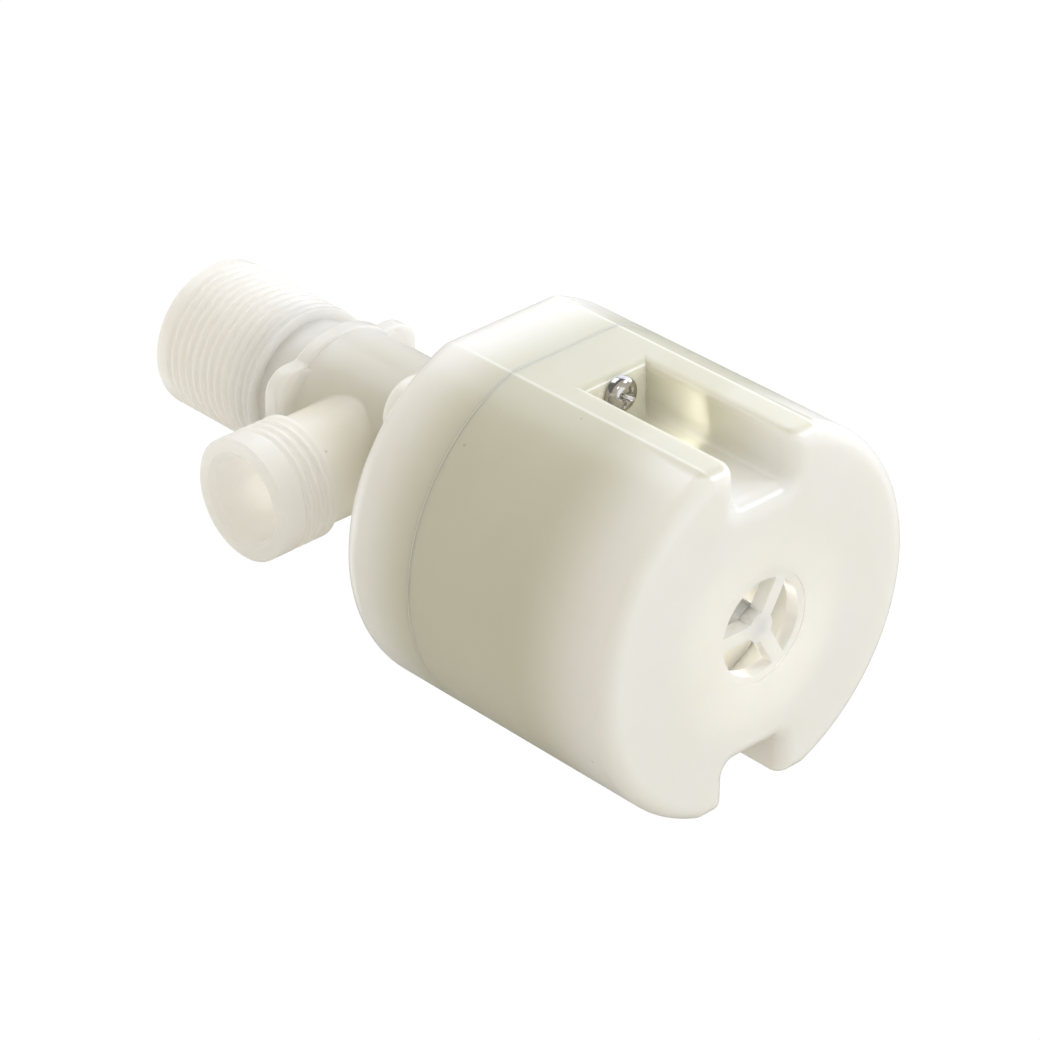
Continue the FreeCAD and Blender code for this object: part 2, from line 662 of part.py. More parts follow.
def pad_nut():
    corners = [
        Vector(PAD_NUT_R * math.cos(math.radians(a)), PAD_NUT_R * math.sin(math.radians(a)), 0)
        for a in range(0, 360, 60)
    ]
    nut = Part.Face(Part.makePolygon(corners + corners[:1])).extrude(Vector(0, 0, PAD_NUT_H))
    nut.translate(Vector(0, 0, z_of(CROWN_LOW - PAD_NUT_H)))
    return nut.cut(disc(PAD_SCREW_R, 0, HIGH))


def piston_spring():
    low = HOUSING_FLOOR + SPRING_WIRE_R
    height = CROWN_LOW - HOUSING_FLOOR - 2 * SPRING_WIRE_R
    path = Part.makeHelix(height / SPRING_TURNS, height, SPRING_R)
    wire = Part.Wire(Part.makeCircle(SPRING_WIRE_R, Vector(SPRING_R, 0, 0), Vector(0, 1, 0)))
    spring = Part.Wire(path.Edges).makePipeShell([wire], True, True)
    spring.translate(Vector(0, 0, z_of(low)))
    return spring


NODES = (
    valve_body, strainer_frame, strainer_mesh, pilot_housing, housing_oring, clamp_nut, pilot_nozzle,
    nozzle_oring, main_piston, piston_seal, seal_retainer, seat_pad, pad_retainer, pad_screw, pad_nut,
    piston_spring, float_shell, float_cap, float_plug, outer_gasket, inner_gasket, float_screws,
    pad_holder, pilot_pad,
)

os.makedirs("parts", exist_ok=True)
for node in NODES:
    node().exportStep(f"parts/{node.__name__}.step")
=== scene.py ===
"""Looks for the float valve: camera, studio, materials and the finished visible pieces.

Lengths are in metres in the part's own frame: +Z up along the inlet, origin at the inlet's end face,
the outlet to -Y and the slotted flats at +X and -X. Heights are above the float's underside.
"""

import json
import math

import bmesh
import bpy
from mathutils import Matrix, Quaternion, Vector


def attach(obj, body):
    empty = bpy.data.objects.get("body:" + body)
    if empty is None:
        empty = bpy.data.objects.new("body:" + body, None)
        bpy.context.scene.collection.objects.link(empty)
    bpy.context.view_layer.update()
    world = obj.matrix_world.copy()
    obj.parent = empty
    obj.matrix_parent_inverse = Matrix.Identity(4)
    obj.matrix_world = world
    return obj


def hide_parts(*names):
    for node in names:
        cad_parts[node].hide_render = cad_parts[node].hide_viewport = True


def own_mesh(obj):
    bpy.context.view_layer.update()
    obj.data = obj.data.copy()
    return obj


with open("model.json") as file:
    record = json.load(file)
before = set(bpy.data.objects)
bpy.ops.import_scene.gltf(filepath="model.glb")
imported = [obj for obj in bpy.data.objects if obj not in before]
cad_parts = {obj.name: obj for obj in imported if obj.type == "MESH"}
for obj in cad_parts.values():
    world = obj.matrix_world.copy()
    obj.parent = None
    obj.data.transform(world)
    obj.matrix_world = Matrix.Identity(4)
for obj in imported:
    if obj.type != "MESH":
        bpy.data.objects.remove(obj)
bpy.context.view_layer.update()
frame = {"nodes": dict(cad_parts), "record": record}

MM = 0.001
TOTAL = 127.5 * MM     # float's underside to the inlet's end face
PITCH = 1.814 * MM
LAND = 0.2             # share of the pitch taken by the flat crest of a thread
ROOT_START = 0.5       # the groove's floor lies between these shares of the pitch
ROOT_END = 0.7
THREAD_DEPTH = 1.0 * MM   # of the ring grooves that the helix replaces
HELIX_DEPTH = 0.48 * MM
INLET_R = 13.2 * MM
INLET_LOW = 103.4 * MM
INLET_TURNS = 12
OUTLET_R = 10.48 * MM
OUTLET_H = 81.9 * MM
OUTLET_START = 22.0 * MM
OUTLET_TURNS = 4
SHELL_TOP = 43.3 * MM  # parting line
SLOT_END = 31.5 * MM
FLOAT_R = 32.7 * MM
FLAT_X = 30.7 * MM
FLAT_EDGE_Y = 11.2 * MM   # half width of a flat
SLOT_HALF = 6.1 * MM
SCREW_X = 27.6 * MM
UP = Vector((0.0, 0.0, 1.0))


def z_of(height):
    return height - TOTAL


# ---- camera --------------------------------------------------------------------------------------
FOCAL_LENGTH = 151.39  # millimetres, on a sensor 36 mm wide
CAMERA_PLACE = (0.35283, -0.41124, -0.50506)
CAMERA_TURN = (0.42904, 0.56480, 0.70073, -0.07689)


def make_camera():
    data = bpy.data.cameras.new("camera")
    data.sensor_width = 36.0
    data.lens = FOCAL_LENGTH
    data.clip_start = 0.01
    data.clip_end = 50.0
    camera = bpy.data.objects.new("camera", data)
    bpy.context.collection.objects.link(camera)
    camera.location = CAMERA_PLACE
    camera.rotation_mode = "QUATERNION"
    camera.rotation_quaternion = Quaternion(CAMERA_TURN)
    bpy.context.scene.camera = camera


make_camera()


# ---- studio --------------------------------------------------------------------------------------
AIM = Vector((0.0, -0.006, -0.085))   # the valve's middle
FLOOR_Z = -0.62
AMBIENT = ((1.0, 0.945, 0.83), 0.87)
MIRRORED = ((0.80, 0.78, 0.75), 0.34)
BACKDROP = ((1.0, 1.0, 1.0), 1.02)

# name, direction from AIM, distance, size, watts, colour, whether it shows in reflections
SOFTBOXES = (
    ("key", (0.52, 0.78, 0.35), 0.34, (0.26, 0.26), 0.40, (0.80, 0.85, 1.0), True),
    ("high", (0.45, 0.80, -0.15), 0.22, (0.12, 0.12), 0.20, (0.82, 0.87, 1.0), True),
    ("top", (0.62, 0.10, 0.50), 0.40, (0.22, 0.22), 0.44, (0.82, 0.88, 1.0), True),
    ("fill", (0.10, 0.10, -0.90), 0.50, (0.34, 0.34), 0.36, (0.78, 0.88, 1.0), True),
    ("edge", (0.62, 0.59, -0.51), 0.50, (0.09, 0.09), 0.50, (0.80, 0.87, 1.0), True),
    ("front", (0.64, -0.15, -0.75), 0.50, (0.10, 0.05), 0.11, (0.80, 0.88, 1.0), True),
    ("side", (0.59, -0.51, 0.62), 0.50, (0.10, 0.10), 0.06, (1.0, 0.92, 0.84), False),
    ("rim", (-0.15, -0.50, 0.80), 0.25, (0.12, 0.12), 0.085, (0.75, 0.86, 1.0), True),
    ("back", (-0.50, -0.20, 0.85), 0.35, (0.16, 0.16), 0.10, (0.82, 0.93, 1.0), True),
)
WELL_GLOW_R = 9.5 * MM
WELL_GLOW_H = 9.5 * MM
WELL_GLOWS = ((90.0, 0.0003), (140.0, 0.0014), (200.0, 0.0009), (300.0, 0.0009))   # degrees, watts

# name, place, radius, watts
PORT_GLOWS = (
    ("bore", (0.0, 0.0, z_of(88.0 * MM)), 0.002, 0.0010),
    ("inlet", (0.0, 0.0, z_of(116.0 * MM)), 0.004, 0.0010),
    ("outlet", (0.0, -0.020, z_of(OUTLET_H)), 0.003, 0.0013),
)
GLOW_COLOR = (1.0, 0.98, 0.93)
STRIP_COLOR = (1.0, 0.97, 0.94)
STRIP_WIDTH = 2.0 * MM
SLOT_LIGHT_X = 27.5 * MM


def make_world():
    world = bpy.data.worlds.new("studio")
    bpy.context.scene.world = world
    world.use_nodes = True
    tree = world.node_tree
    tree.nodes.clear()
    path = tree.nodes.new("ShaderNodeLightPath")

    def background(color, strength):
        node = tree.nodes.new("ShaderNodeBackground")
        node.inputs["Color"].default_value = color + (1.0,)
        node.inputs["Strength"].default_value = strength
        return node.outputs[0]

    def choose(share, a, b):
        node = tree.nodes.new("ShaderNodeMixShader")
        for socket, value in zip(node.inputs, (share, a, b)):
            tree.links.new(value, socket)
        return node.outputs[0]

    lit = choose(path.outputs["Is Glossy Ray"], background(*AMBIENT), background(*MIRRORED))
    out = tree.nodes.new("ShaderNodeOutputWorld")
    tree.links.new(choose(path.outputs["Is Camera Ray"], lit, background(*BACKDROP)), out.inputs["Surface"])


def lamp(name, kind, place, watts, color, mirrored=True):
    """A light that the camera doesn't see, and that shows in reflections if mirrored."""
    data = bpy.data.lights.new(name, kind)
    data.energy = watts
    data.color = color
    light = bpy.data.objects.new(name, data)
    bpy.context.collection.objects.link(light)
    light.location = place
    light.visible_camera = False
    light.visible_glossy = mirrored
    return light


def panel(name, place, toward, size, watts, color, mirrored):
    """A rectangular light that shines toward a direction."""
    light = lamp(name, "AREA", place, watts, color, mirrored)
    light.data.shape = "RECTANGLE"
    light.data.size, light.data.size_y = size
    light.rotation_mode = "QUATERNION"
    light.rotation_quaternion = toward.to_track_quat("-Z", "Y")


def softbox(name, direction, distance, *look):
    """A studio light at a distance from AIM, shining back at it."""
    away = Vector(direction).normalized()
    panel(name, AIM + away * distance, -away, *look)


def glow(name, place, radius, watts):
    """A little warm light in a cavity, for what the real thin walls let through."""
    lamp(name, "POINT", place, watts, GLOW_COLOR).data.shadow_soft_size = radius


def strip(name, place, toward, length, watts):
    """A little upright strip of light in a slot, for what its thin walls let through."""
    panel(name, place, Vector(toward), (STRIP_WIDTH, length), watts, STRIP_COLOR, False)


def make_studio():
    make_world()
    for box in SOFTBOXES:
        softbox(*box)
    for degrees, watts in WELL_GLOWS:
        x, y = (WELL_GLOW_R * f(math.radians(degrees)) for f in (math.cos, math.sin))
        glow("well", (x, y, z_of(WELL_GLOW_H)), 0.003, watts)
    for port in PORT_GLOWS:
        glow(*port)
    for side in (1, -1):
        out = side * SLOT_LIGHT_X
        strip("slot_wall", (out, -side * 0.005, z_of(21.0 * MM)), (-side * 0.35, side, 0.0), 0.020, 0.0003)
        strip("slot_end", (out, side * 0.002, z_of(18.0 * MM)), (-side * 0.20, 0.0, 1.0), 0.006, 0.0006)
    bpy.context.scene.view_settings.view_transform = "Standard"


make_studio()


# ---- node helper ---------------------------------------------------------------------------------
class Shader:
    """One material's node tree. Every helper returns an output socket or a node."""

    def __init__(self, name):
        self.material = bpy.data.materials.new(name)
        self.material.use_nodes = True
        self.tree = self.material.node_tree
        self.tree.nodes.clear()
        self.place = self.node("ShaderNodeTexCoord").outputs["Object"]

    def node(self, kind, inputs=None, **settings):
        node = self.tree.nodes.new(kind)
        for key, value in settings.items():
            setattr(node, key, value)
        for key, value in (inputs or {}).items():
            if isinstance(value, bpy.types.NodeSocket):
                self.tree.links.new(value, node.inputs[key])
            else:
                node.inputs[key].default_value = value
        return node

    def noise(self, scale, detail=3.0, roughness=0.5, place=None, distortion=0.0):
        node = self.node("ShaderNodeTexNoise", {
            "Vector": place or self.place, "Scale": scale, "Detail": detail, "Roughness": roughness,
            "Distortion": distortion,
        })
        return node.outputs[0]

    def math(self, operation, a, b=0.0, c=0.0, clamp=False):
        return self.node("ShaderNodeMath", {0: a, 1: b, 2: c}, operation=operation,
                         use_clamp=clamp).outputs[0]

    def vector(self, operation, a, b=(0.0, 0.0, 0.0), result="Vector"):
        return self.node("ShaderNodeVectorMath", {0: a, 1: b}, operation=operation).outputs[result]

    def ramp(self, value, low, high, to_low=0.0, to_high=1.0):
        return self.node("ShaderNodeMapRange", {
            "Value": value, "From Min": low, "From Max": high, "To Min": to_low, "To Max": to_high,
        }).outputs[0]

    def blend(self, share, a, b, kind="MIX"):
        node = self.node("ShaderNodeMix", data_type="RGBA", blend_type=kind)
        for socket, value in zip((node.inputs[0], node.inputs[6], node.inputs[7]), (share, a, b)):
            if isinstance(value, bpy.types.NodeSocket):
                self.tree.links.new(value, socket)
            elif isinstance(value, tuple):
                socket.default_value = value + (1.0,)
            else:
                socket.default_value = value
        return node.outputs[2]

    def bump(self, height, distance, strength=1.0, normal=None):
        inputs = {"Height": height, "Distance": distance, "Strength": strength}
        if normal is not None:
            inputs["Normal"] = normal
        return self.node("ShaderNodeBump", inputs).outputs[0]

    def specks(self, scale, size, share):
        """A mask of scattered round specks: 1 inside a speck, on a share of the cells."""
        cell = self.node("ShaderNodeTexVoronoi", {"Vector": self.place, "Scale": scale})
        near = self.ramp(cell.outputs["Distance"], size, size * 0.4)
        tint = self.node("ShaderNodeSeparateColor", {"Color": cell.outputs["Color"]})
        chosen = self.math("LESS_THAN", tint.outputs[0], share)
        return self.math("MULTIPLY", near, chosen, clamp=True)

    def band(self, rise, full, fall, end):
        """1 between the heights full and fall above the underside, fading to 0 at rise and end."""
        height = self.node("ShaderNodeSeparateXYZ", {"Vector": self.place}).outputs[2]
        up = self.smooth(height, z_of(rise), z_of(full))
        down = self.smooth(height, z_of(end), z_of(fall))
        return self.math("MULTIPLY", up, down)

    def upright_line(self, x, y, width):
        """1 on the four upright lines at (+-x, +-y), fading out over the width."""
        level = self.vector("MULTIPLY", self.vector("ABSOLUTE", self.place), (1.0, 1.0, 0.0))
        return self.smooth(self.vector("DISTANCE", level, (x, y, 0.0), "Value"), width, 0.3 * width)

    def beside_flats(self, low, high):
        """1 where x is beyond +-high, fading to 0 at +-low."""
        parts = self.node("ShaderNodeSeparateXYZ", {"Vector": self.vector("ABSOLUTE", self.place)})
        return self.smooth(parts.outputs[0], low, high)

    def near(self, point, full, end):
        """1 within the distance full of a point, fading to 0 at the distance end."""
        return self.smooth(self.vector("DISTANCE", self.place, point, "Value"), end, full)

    def smooth(self, value, low, high):
        return self.node("ShaderNodeMapRange", {"Value": value, "From Min": low, "From Max": high},
                         interpolation_type="SMOOTHSTEP").outputs[0]

    def finish(self, through=None, share=0.0, **inputs):
        """Ends the tree. A share of the surface may let light through in the colour given."""
        names = {key.replace("_", " "): value for key, value in inputs.items()}
        for key, value in names.items():
            if isinstance(value, tuple) and key.endswith("Color"):
                names[key] = value + (1.0,)
        surface = self.node("ShaderNodeBsdfPrincipled", names).outputs[0]
        if through is not None:
            clear = self.node("ShaderNodeBsdfTranslucent", {"Color": through, "Normal": names["Normal"]})
            mixed = self.node("ShaderNodeMixShader", {0: share, 1: surface, 2: clear.outputs[0]})
            surface = mixed.outputs[0]
        out = self.node("ShaderNodeOutputMaterial")
        self.tree.links.new(surface, out.inputs["Surface"])
        return self.material


# ---- materials -----------------------------------------------------------------------------------
NYLON_ROUGH = 0.22
NYLON_DEPTH = 2.2 * MM    # how far light wanders under the skin
# how strongly the paler edges and their painted highlight show
EDGE_STRENGTH = 0.40
FLAT_SHARE = 0.75         # how much of the middle's painted shade the low end of a flat has


def nylon(name, pale, deep, through, share, painted_shade=None, pale_edge_and_highlight=None, speck_share=0.012):
    """Natural moulded nylon: cloudy and slightly translucent, with a faint orange-peel skin.

    A share of the light passes straight through, in the colour through. The sixth argument, a mask and a
    tint, paints shade where the walls get less light. The seventh is a mask of paler edges with a painted
    highlight.
    """
    s = Shader(name)
    cloud = s.ramp(s.noise(55.0, 4.0, 0.55, distortion=0.6), 0.36, 0.66)
    haze = s.ramp(s.noise(260.0, 3.0), 0.35, 0.70)
    color = s.blend(cloud, pale, deep)
    color = s.blend(s.math("MULTIPLY", haze, 0.10), color, (0.92, 0.91, 0.88))
    # painted shade: the mask darkens the colour by its tint where the walls get less light
    if painted_shade:
        mask, tint = painted_shade
        color = s.blend(mask(s), color, tint, "MULTIPLY")
    # paler edges with a painted highlight on them
    if pale_edge_and_highlight:
        color = s.blend(pale_edge_and_highlight(s), color, (0.96, 0.955, 0.94))
    dots = s.specks(300.0, 0.10, speck_share)
    color = s.blend(s.math("MULTIPLY", dots, 0.5), color, (0.40, 0.36, 0.28))
    peel = s.noise(1700.0, 2.0)
    flow = s.noise(150.0, 2.0)
    rough = s.math("MULTIPLY_ADD", s.noise(420.0, 3.0), 0.14, NYLON_ROUGH - 0.06)
    normal = s.bump(flow, 0.00006, 0.25)
    normal = s.bump(peel, 0.000008, 0.4, normal)
    return s.finish(
        s.blend(0.5, color, through, "MULTIPLY"), share,
        Base_Color=color, Roughness=rough, Normal=normal, IOR=1.50, Specular_IOR_Level=0.45,
        Subsurface_Weight=0.8, Subsurface_Radius=(1.0, 0.96, 0.88), Subsurface_Scale=NYLON_DEPTH,
    )


def float_painted_shade(s):
    """Painted shade on the long walls' middle, and on the flats all the way down to the underside."""
    middle = s.band(rise=3.0 * MM, full=21.0 * MM, fall=42.0 * MM, end=56.0 * MM)
    low = s.band(rise=-1.0 * MM, full=0.0, fall=21.0 * MM, end=32.0 * MM)
    on_flats = s.math("MULTIPLY", low, s.beside_flats(FLAT_X - 0.8 * MM, FLAT_X - 0.2 * MM))
    return s.math("MAXIMUM", middle, s.math("MULTIPLY", on_flats, FLAT_SHARE))


def float_edge_pale_and_highlight(s):
    """The moulding's edges, paler and with a painted highlight where they catch the light: beside the flats
    and beside the slots.
    """
    flats = s.upright_line(FLAT_X - 0.05 * MM, FLAT_EDGE_Y, 0.42 * MM)
    slots = s.upright_line(FLAT_X - 0.25 * MM, SLOT_HALF + 0.25 * MM, 0.55 * MM)
    low = s.band(rise=-1.0 * MM, full=0.0, fall=SLOT_END - 1.0 * MM, end=SLOT_END)
    return s.math("MULTIPLY", s.math("MAXIMUM", flats, s.math("MULTIPLY", slots, low)), EDGE_STRENGTH)


def body_painted_shade(s):
    """Painted shade round the joint of neck and side tube, where the body is thickest."""
    return s.near((0.002, -0.006, z_of(80.0 * MM)), full=0.010, end=0.021)


def flash_nylon(name):
    """The paper-thin flash left along the parting line: paler than the walls and dry."""
    s = Shader(name)
    ragged = s.noise(900.0, 4.0, 0.7)
    return s.finish(
        Base_Color=s.blend(s.ramp(ragged, 0.35, 0.65), (0.93, 0.92, 0.88), (0.80, 0.78, 0.70)),
        Roughness=s.ramp(ragged, 0.3, 0.7, 0.30, 0.45), Normal=s.bump(ragged, 0.00002, 0.5), IOR=1.5,
    )


def rubber(name, color, dust):
    s = Shader(name)
    grain = s.noise(1400.0, 4.0, 0.6)
    bloom = s.ramp(s.noise(160.0, 4.0), 0.45, 0.75, 0.0, 0.6)
    return s.finish(
        Base_Color=s.blend(bloom, color, dust), Roughness=s.ramp(grain, 0.2, 0.8, 0.45, 0.72),
        Normal=s.bump(grain, 0.00003, 0.5), IOR=1.5,
    )


def metal(name, color, shade, rough, stretch):
    """Steel with fine lines along one direction, stretch being the noise scale along X, Y and Z."""
    s = Shader(name)
    lines = s.noise(1.0, 4.0, 0.65,
                    place=s.node("ShaderNodeMapping", {"Vector": s.place, "Scale": stretch}).outputs[0])
    stain = s.ramp(s.noise(300.0, 4.0), 0.45, 0.72)
    return s.finish(
        Base_Color=s.blend(s.math("MULTIPLY", stain, 0.5), color, shade), Metallic=1.0,
        Roughness=s.math("MULTIPLY_ADD", lines, 0.14, s.ramp(stain, 0.0, 1.0, rough, rough + 0.10)),
        Normal=s.bump(lines, 0.000008, 0.4),
    )


MATERIALS = {
    "body_nylon": nylon(
        "body_nylon", (0.874, 0.870, 0.862), (0.864, 0.855, 0.835), (1.0, 0.99, 0.96), 0.50,
        # painted shade: darker round the joint of neck and side tube
        (body_painted_shade, (0.90, 0.89, 0.83)), speck_share=0.03),
    "float_nylon": nylon(
        "float_nylon", (0.90, 0.895, 0.875), (0.89, 0.88, 0.845), (1.0, 0.97, 0.90), 0.22,
        # painted shade on the float: darker in the walls' middle and on the flats
        (float_painted_shade, (0.74, 0.735, 0.63)), float_edge_pale_and_highlight),
    "housing_nylon": nylon(
        "housing_nylon", (0.89, 0.87, 0.80), (0.87, 0.84, 0.75), (1.0, 0.94, 0.80), 0.22),
    "black_rubber": rubber("black_rubber", (0.018, 0.018, 0.018), (0.07, 0.07, 0.065)),
    "white_rubber": rubber("white_rubber", (0.74, 0.71, 0.62), (0.82, 0.80, 0.74)),
    "stainless": metal("stainless", (0.60, 0.59, 0.57), (0.42, 0.40, 0.37), 0.22,
                       (300.0, 300.0, 4000.0)),
    "stainless_mesh": metal("stainless_mesh", (0.55, 0.54, 0.52), (0.35, 0.33, 0.30), 0.30,
                            (2500.0, 2500.0, 2500.0)),
    "chrome_screw": metal("chrome_screw", (0.46, 0.44, 0.42), (0.25, 0.23, 0.21), 0.06,
                          (1500.0, 1500.0, 400.0)),
}


def paint(obj, slot):
    obj.data.materials.clear()
    obj.data.materials.append(MATERIALS[slot])


SLOT_OF = {part["node"]: part["material_slot"] for part in frame["record"]["subparts"]}
BODY_OF = {node: body for body, nodes in frame["record"]["behaviour"]["bodies"].items() for node in nodes}
for node_name, node_object in frame["nodes"].items():
    paint(node_object, SLOT_OF[node_name])


# ---- mesh helpers --------------------------------------------------------------------------------
def to_object(name, bm):
    mesh = bpy.data.meshes.new(name)
    bm.to_mesh(mesh)
    bm.free()
    obj = bpy.data.objects.new(name, mesh)
    bpy.context.collection.objects.link(obj)
    return obj


def piece(name, bm, node):
    """Turns a bmesh into the piece that stands for a CAD node, riding on its body."""
    obj = to_object(name, bm)
    paint(obj, SLOT_OF[node])
    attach(obj, BODY_OF[node])
    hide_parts(node)
    return obj


def from_node(name):
    """A CAD node's shape as one welded bmesh."""
    bm = bmesh.new()
    bm.from_mesh(frame["nodes"][name].data)
    bmesh.ops.remove_doubles(bm, verts=bm.verts, dist=1e-6)
    return bm


def soften(bm, angle=32.0):
    """Smooth faces, with edges sharper than the angle kept sharp."""
    bmesh.ops.recalc_face_normals(bm, faces=bm.faces)
    for face in bm.faces:
        face.smooth = True
    limit = math.radians(angle)
    for edge in bm.edges:
        edge.smooth = len(edge.link_faces) == 2 and edge.calc_face_angle(0.0) < limit


def helix_rows(bm, matrix, rows, angles, radius_at):
    """Rings of vertices up an axis, the radius of each given by its angle and height."""
    grid = []
    for z in rows:
        ring = []
        for angle in angles:
            radius = radius_at(angle, z)
            spot = Vector((radius * math.cos(angle), radius * math.sin(angle), z))
            ring.append(bm.verts.new(matrix @ spot))
        grid.append(ring)
    return grid


def skin(bm, grid):
    """Quads between neighbouring rings."""
    for lower, upper in zip(grid, grid[1:]):
        count = len(lower)
        for i in range(count):
            j = (i + 1) % count
            bm.faces.new((lower[i], lower[j], upper[j], upper[i]))


def circle(count):
    """Angles evenly round a circle."""
    return [2 * math.pi * i / count for i in range(count)]


def smooth_step(x):
    x = min(max(x, 0.0), 1.0)
    return x * x * (3 - 2 * x)


def groove(turn):
    """How deep a thread groove is, 0 to 1, at this share of the pitch."""
    t = turn % 1.0
    if t < ROOT_START:
        return smooth_step((t - LAND) / (ROOT_START - LAND))
    if t < ROOT_END:
        return 1.0
    return smooth_step((1.0 - t) / (1.0 - ROOT_END))


ROWS_PER_TURN = 14
RUN_OUT = 0.7 * PITCH     # length over which a thread's groove starts and ends


def cut_thread(bm, matrix, crest, low, turns):
    """Replaces ring grooves by one real helical thread, joined to the plain crest at both ends."""
    start = low + LAND * PITCH
    end = low + turns * PITCH
    inverse = matrix.inverted()
    near = 0.02 * MM

    def local(vert):
        spot = inverse @ vert.co
        return math.hypot(spot.x, spot.y), spot.z, math.atan2(spot.y, spot.x)

    doomed = []
    for face in bm.faces:
        spots = [local(v) for v in face.verts]
        if all(start - near < z < end + near and crest - THREAD_DEPTH - near < r < crest + near
               for r, z, _ in spots):
            doomed.append(face)
    bmesh.ops.delete(bm, geom=doomed, context="FACES")
    loops = []
    for height in (start, end):
        rim = {v for e in bm.edges if len(e.link_faces) == 1 for v in e.verts
               if abs(local(v)[1] - height) < near and abs(local(v)[0] - crest) < near}
        loops.append(sorted(rim, key=lambda v: local(v)[2]))
    angles = [local(v)[2] for v in loops[0]]
    count = turns * ROWS_PER_TURN
    heights = [start + (end - start) * i / count for i in range(1, count)]

    def radius_at(angle, z):
        ends = smooth_step((z - start) / RUN_OUT) * smooth_step((end - z) / RUN_OUT)
        return crest - HELIX_DEPTH * ends * groove((z - low) / PITCH - angle / (2 * math.pi))

    grid = helix_rows(bm, matrix, heights, angles, radius_at)
    skin(bm, [loops[0]] + grid + [loops[1]])


# ---- visible pieces ------------------------------------------------------------------------------
SCREW_HEAD_R = 3.0 * MM
SCREW_LENGTH = 22.5 * MM
SCREW_POINT = 2.2 * MM
SCREW_PITCH = 1.1 * MM


def make_valve_body():
    bm = from_node("valve_body")
    cut_thread(bm, Matrix.Identity(4), INLET_R, z_of(INLET_LOW), INLET_TURNS)
    along_outlet = Matrix(((1, 0, 0, 0), (0, 0, -1, 0), (0, 1, 0, z_of(OUTLET_H)), (0, 0, 0, 1)))
    cut_thread(bm, along_outlet, OUTLET_R, OUTLET_START, OUTLET_TURNS)
    soften(bm)
    return piece("body_moulding", bm, "valve_body")


def screw_top(x, y):
    """Height of the domed head above its seat at (x, y), with the cross recess cut in."""
    edge_t, rise = 0.55 * MM, 1.75 * MM
    wing_depth, wing_reach, wing_half = 1.45 * MM, 1.95 * MM, 0.50 * MM
    pit_depth, pit_r = 1.75 * MM, 1.15 * MM
    r = math.hypot(x, y)
    dome = edge_t + rise * math.sqrt(max(0.0, 1.0 - (r / (SCREW_HEAD_R * 1.004)) ** 2)) ** 0.85
    across, along = sorted((abs(x), abs(y)))
    floor = wing_depth * (1.0 - along / wing_reach)
    wing = max(0.0, floor) * smooth_step((wing_half - across) / (0.16 * MM))
    wing *= smooth_step((1.85 * MM - along) / (0.18 * MM))
    pit = pit_depth * max(0.0, 1.0 - r / pit_r)
    return dome - max(wing, pit)


def screw_shank(angle, z):
    """Radius of the threaded shank, which ends in a point."""
    point = min(1.0, (SCREW_LENGTH - z) / SCREW_POINT)
    ridge = groove(z / SCREW_PITCH - angle / (2 * math.pi))
    return max(0.12 * MM, (1.48 - 0.42 * ridge) * MM * (0.15 + 0.85 * max(0.0, point)))


def make_screw(bm, side):
    """A cross-recessed pan-head self-tapping screw, head down in the slot at X = side * SCREW_X."""
    at = Matrix.Translation((side * SCREW_X, 0.0, z_of(SLOT_END))) @ Matrix.Rotation(0.5, 4, "Z")
    segments, rings = 96, 34
    angles = circle(segments)
    centre = bm.verts.new(at @ Vector((0.0, 0.0, -screw_top(0.0, 0.0))))
    grid = []
    for i in range(1, rings + 1):
        r = SCREW_HEAD_R * (i / rings)
        spots = [(r * math.cos(angle), r * math.sin(angle)) for angle in angles]
        grid.append([bm.verts.new(at @ Vector((x, y, -screw_top(x, y)))) for x, y in spots])
    for j in range(segments):
        bm.faces.new((centre, grid[0][(j + 1) % segments], grid[0][j]))
    skin(bm, grid)
    neck = [(SCREW_HEAD_R * 0.995, -0.02 * MM), (SCREW_HEAD_R * 0.97, 0.0), (1.45 * MM, 0.0)]
    under = [helix_rows(bm, at, [z], angles, lambda a, h, r=r: r)[0] for r, z in neck]
    shank_rows = [0.35 * MM * i for i in range(1, 60)]
    threads = helix_rows(bm, at, shank_rows, angles, screw_shank)
    skin(bm, [grid[-1]] + under + threads)
    tip = bm.verts.new(at @ Vector((0.0, 0.0, SCREW_LENGTH)))
    for j in range(segments):
        bm.faces.new((threads[-1][j], threads[-1][(j + 1) % segments], tip))


def make_screws():
    bm = bmesh.new()
    for side in (1, -1):
        make_screw(bm, side)
    soften(bm, 50.0)
    return piece("cross_head_screws", bm, "float_screws")


def tube_along(bm, points, radius, sides):
    """A round wire through the points, closed at both ends."""
    points = [Vector(p) for p in points]
    rings = []
    for i, spot in enumerate(points):
        ahead = points[min(i + 1, len(points) - 1)] - points[max(i - 1, 0)]
        ahead.normalize()
        out = Vector((spot.x, spot.y, 0.0)).normalized()
        side = ahead.cross(out).normalized()
        out = side.cross(ahead)
        rings.append([bm.verts.new(spot + radius * (math.cos(t) * out + math.sin(t) * side))
                      for t in circle(sides)])
    skin(bm, rings)
    bm.faces.new(rings[0][::-1])
    bm.faces.new(rings[-1])


def make_spring():
    """A compression spring with closed ends, modelled at one length; the real one shortens as the piston
    opens.
    """
    low, high = z_of(41.0 * MM), z_of(61.0 * MM)
    wire, coil = 0.45 * MM, 6.6 * MM
    turns, steps = 8.5, 48
    points = []
    for i in range(int(turns * steps) + 1):
        t = i / steps
        open_coils = min(max((t - 1.0) / (turns - 2.0), 0.0), 1.0)
        share = smooth_step((t - 0.6) / 0.9) * 0.04 + open_coils * 0.96
        z = low + wire + (high - low - 2 * wire) * min(1.0, share)
        points.append((coil * math.cos(2 * math.pi * t), coil * math.sin(2 * math.pi * t), z))
    bm = bmesh.new()
    tube_along(bm, points, wire * 0.98, 10)
    soften(bm, 60.0)
    spring = piece("closed_end_spring", bm, "piston_spring")
    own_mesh(spring)
    return spring


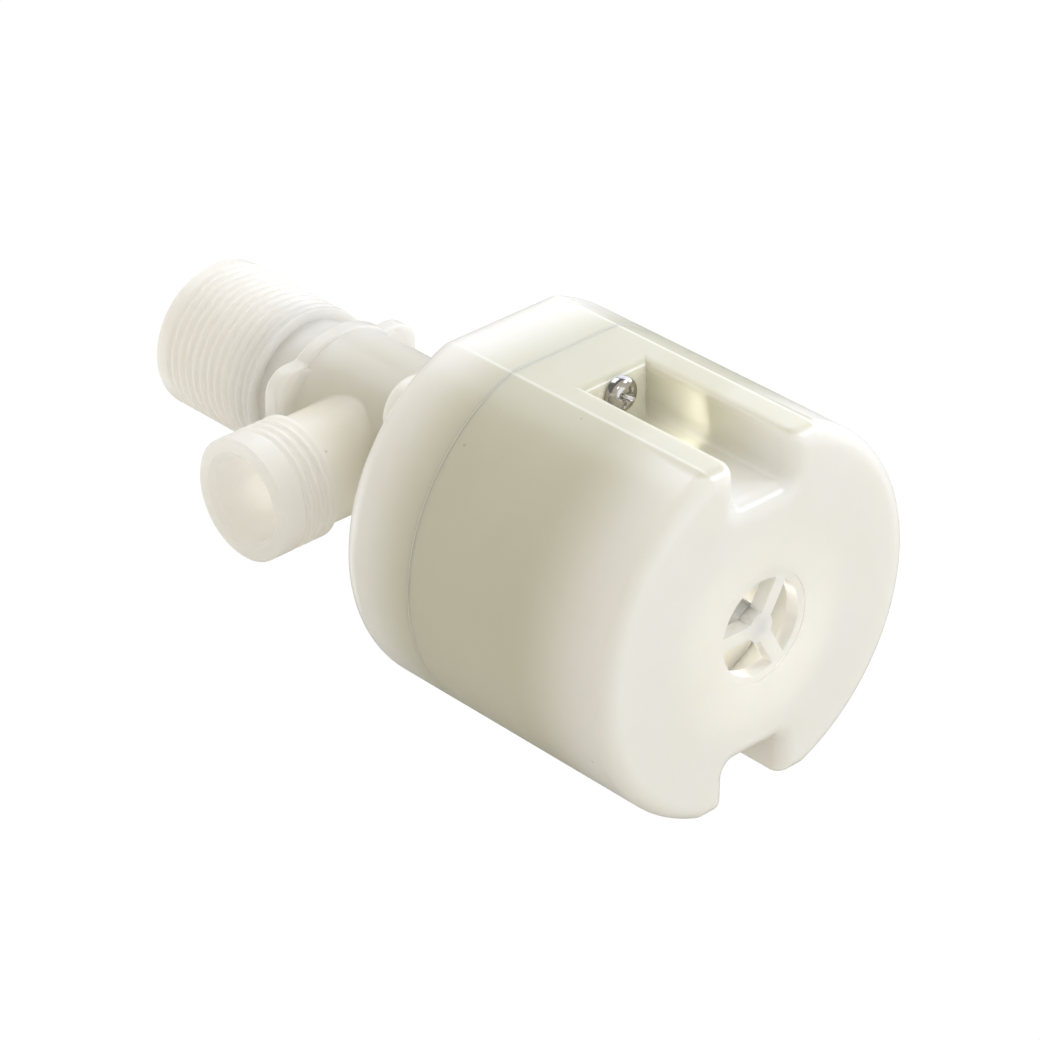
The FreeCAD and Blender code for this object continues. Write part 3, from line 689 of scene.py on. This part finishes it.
def make_strainer_mesh():
    """Woven wire rolled into a sleeve: two families of thin wires that cross at a slant."""
    low, high = z_of(93.4 * MM), z_of(108.1 * MM)
    mid, wave, wire = 4.83 * MM, 0.05 * MM, 0.055 * MM
    wires, steps, sweep = 30, 26, 1.1
    bm = bmesh.new()
    for hand in (1, -1):
        for k in range(wires):
            points = []
            for i in range(steps + 1):
                angle = 2 * math.pi * k / wires + hand * sweep * i / steps
                radius = mid + wave * math.cos(math.pi * (i + k)) * hand
                points.append((radius * math.cos(angle), radius * math.sin(angle),
                               low + (high - low) * i / steps))
            tube_along(bm, points, wire, 5)
    soften(bm, 80.0)
    return piece("woven_strainer", bm, "strainer_mesh")


def float_outline(inset):
    """Points round the float's outline, inset a little."""
    half, radius = FLAT_X - inset, FLOAT_R - inset
    points = []
    for angle in circle(180):
        x, y = radius * math.cos(angle), radius * math.sin(angle)
        if abs(x) > half:
            y *= half / abs(x)
            x = math.copysign(half, x)
        points.append((x, y))
    return points


def make_flash():
    """The thin line of flash that fills the parting groove between shell and cap."""
    bm = bmesh.new()
    sides, radius = 8, 0.11 * MM
    rings = []
    outline = float_outline(0.112 * MM)
    for i, (x, y) in enumerate(outline):
        before, after = outline[i - 1], outline[(i + 1) % len(outline)]
        along = Vector((after[0] - before[0], after[1] - before[1], 0.0)).normalized()
        out = along.cross(UP)
        centre = Vector((x, y, z_of(SHELL_TOP)))
        rings.append([bm.verts.new(centre + radius * (math.cos(t) * out + math.sin(t) * UP))
                      for t in circle(sides)])
    skin(bm, rings + rings[:1])
    soften(bm, 80.0)
    flash = to_object("parting_flash", bm)
    flash.data.materials.append(flash_nylon("flash_nylon"))
    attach(flash, "float")


make_valve_body()
make_screws()
make_flash()
make_spring()
make_strainer_mesh()


# ---- floor ---------------------------------------------------------------------------------------
def make_floor():
    bm = bmesh.new()
    bmesh.ops.create_grid(bm, x_segments=8, y_segments=8, size=4.0)
    floor = to_object("floor", bm)
    floor.location.z = FLOOR_Z
    s = Shader("floor")
    shade = s.noise(6.0, 3.0)
    floor.data.materials.append(s.finish(
        Base_Color=s.blend(shade, (0.90, 0.90, 0.89), (0.94, 0.94, 0.93)), Roughness=0.85))


make_floor()
